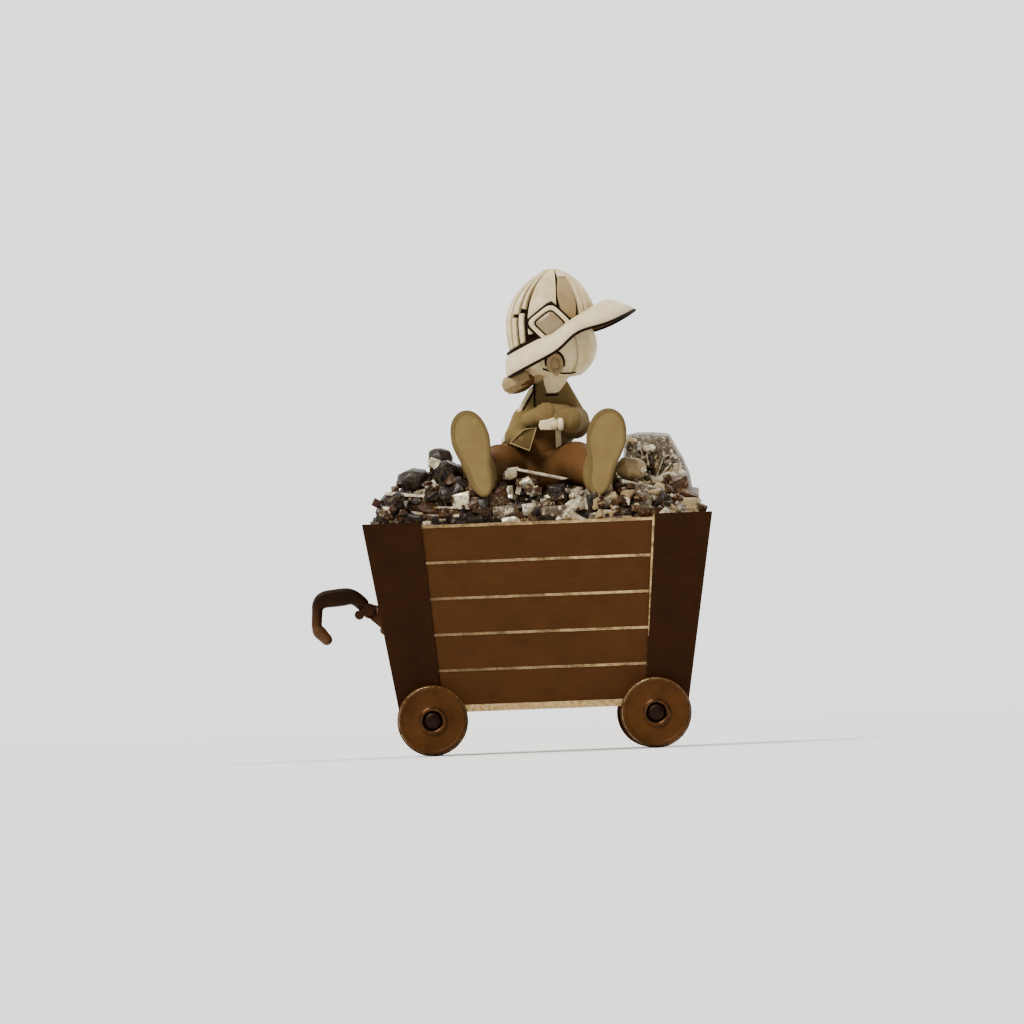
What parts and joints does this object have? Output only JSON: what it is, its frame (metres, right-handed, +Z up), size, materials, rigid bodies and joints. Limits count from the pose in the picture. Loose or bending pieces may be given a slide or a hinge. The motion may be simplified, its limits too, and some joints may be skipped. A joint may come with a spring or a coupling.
{
  "type": "miniature mine cart",
  "caption": "Palm-sized display mine cart: flared plank hopper on flanged wheels with a swinging drawhook, heaped ore and a seated miner.",
  "frame": {"origin": "middle of the whole model's footprint, hook included, on the surface that the wheels stand on", "axes": "+X along the cart from the drawhook's end to the tail, +Y from the front side to the back side, +Z up"},
  "size_m": [0.1017, 0.0622, 0.1215],
  "materials": {
    "gilt": "polished gilt over a zinc-alloy casting",
    "enamel_brown": "translucent brown enamel, satin",
    "enamel_dark": "dark brown enamel, satin",
    "bronze": "antique bronze plating",
    "wheel_bronze": "bronze-brown enamel with bright worn edges",
    "bush_brass": "polished",
    "bright_steel": "turned",
    "cap_dark": "dark patina",
    "ore_bed": "dark, rough",
    "ore_dark": "dark brown and black with metallic glints",
    "ore_bright": "mixed, with bright metallic facets",
    "ore_tan": "tan with metallic glints",
    "ore_grey": "grey crystalline",
    "figure_brown": "hand-painted, satin",
    "figure_khaki": "hand-painted, satin",
    "figure_boot": "hand-painted, satin",
    "figure_sole": "hand-painted, matt",
    "figure_ivory": "hand-painted, satin",
    "figure_helmet": "hand-painted, gloss",
    "figure_tan": "hand-painted, satin"
  },
  "bodies": {
    "root": {"tub_shell": "gilt", "clevis_rivets": "gilt", "front_plank_1": "enamel_brown", "front_plank_2": "enamel_brown", "front_plank_3": "enamel_brown", "front_plank_4": "enamel_brown", "front_plank_5": "enamel_brown", "back_plank_1": "enamel_brown", "back_plank_2": "enamel_brown", "back_plank_3": "enamel_brown", "back_plank_4": "enamel_brown", "back_plank_5": "enamel_brown", "hook_end_planks": "enamel_brown", "tail_end_planks": "enamel_brown", "strap_front_hook_end": "enamel_dark", "strap_front_tail_end": "enamel_dark", "strap_back_hook_end": "enamel_dark", "strap_back_tail_end": "enamel_dark", "hook_clevis": "bronze", "bolster_hook_end": "wheel_bronze", "bolster_tail_end": "wheel_bronze", "axle_hook_end": "bright_steel", "axle_tail_end": "bright_steel", "axle_spacers": "bright_steel", "hook_pin": "bright_steel", "bolster_screws": "bright_steel", "load_screw": "bright_steel", "axle_caps": "cap_dark", "load_casting": "ore_bed", "ore_hook_end": "ore_dark", "ore_middle": "ore_bright", "ore_tail_end": "ore_tan", "ore_boulder": "ore_grey", "miner_trousers": "figure_brown", "miner_bib": "figure_brown", "miner_shirt": "figure_khaki", "miner_arm_left": "figure_khaki", "miner_arm_right": "figure_khaki", "boot_left": "figure_boot", "boot_right": "figure_boot", "sole_left": "figure_sole", "sole_right": "figure_sole", "miner_head": "figure_ivory", "miner_collar": "figure_ivory", "miner_braces": "figure_ivory", "miner_gloves": "figure_ivory", "helmet_brim": "figure_ivory", "helmet_dome": "figure_helmet", "helmet_lamp": "figure_helmet", "miner_beard": "figure_tan", "lamp_lens": "figure_tan"},
    "wheel_front_hook_end": {"wheel_front_hook_end": "wheel_bronze", "bush_front_hook_end": "bush_brass"},
    "wheel_front_tail_end": {"wheel_front_tail_end": "wheel_bronze", "bush_front_tail_end": "bush_brass"},
    "wheel_back_hook_end": {"wheel_back_hook_end": "wheel_bronze", "bush_back_hook_end": "bush_brass"},
    "wheel_back_tail_end": {"wheel_back_tail_end": "wheel_bronze", "bush_back_tail_end": "bush_brass"},
    "hook": {"drawhook": "bronze"}
  },
  "joints": [
    {"name": "spin_front_hook_end", "type": "hinge", "parent": "root", "child": "wheel_front_hook_end", "pos_m": [-0.021, -0.027, 0.0089], "axis": [0, 1, 0], "continuous": true},
    {"name": "spin_front_tail_end", "type": "hinge", "parent": "root", "child": "wheel_front_tail_end", "pos_m": [0.035, -0.027, 0.0089], "axis": [0, 1, 0], "continuous": true},
    {"name": "spin_back_hook_end", "type": "hinge", "parent": "root", "child": "wheel_back_hook_end", "pos_m": [-0.021, 0.027, 0.0089], "axis": [0, 1, 0], "continuous": true},
    {"name": "spin_back_tail_end", "type": "hinge", "parent": "root", "child": "wheel_back_tail_end", "pos_m": [0.035, 0.027, 0.0089], "axis": [0, 1, 0], "continuous": true},
    {"name": "hook_swing", "type": "hinge", "parent": "root", "child": "hook", "pos_m": [-0.03586, 0, 0.0372], "axis": [0, 1, 0], "range_deg": [0, 40]}
  ]
}
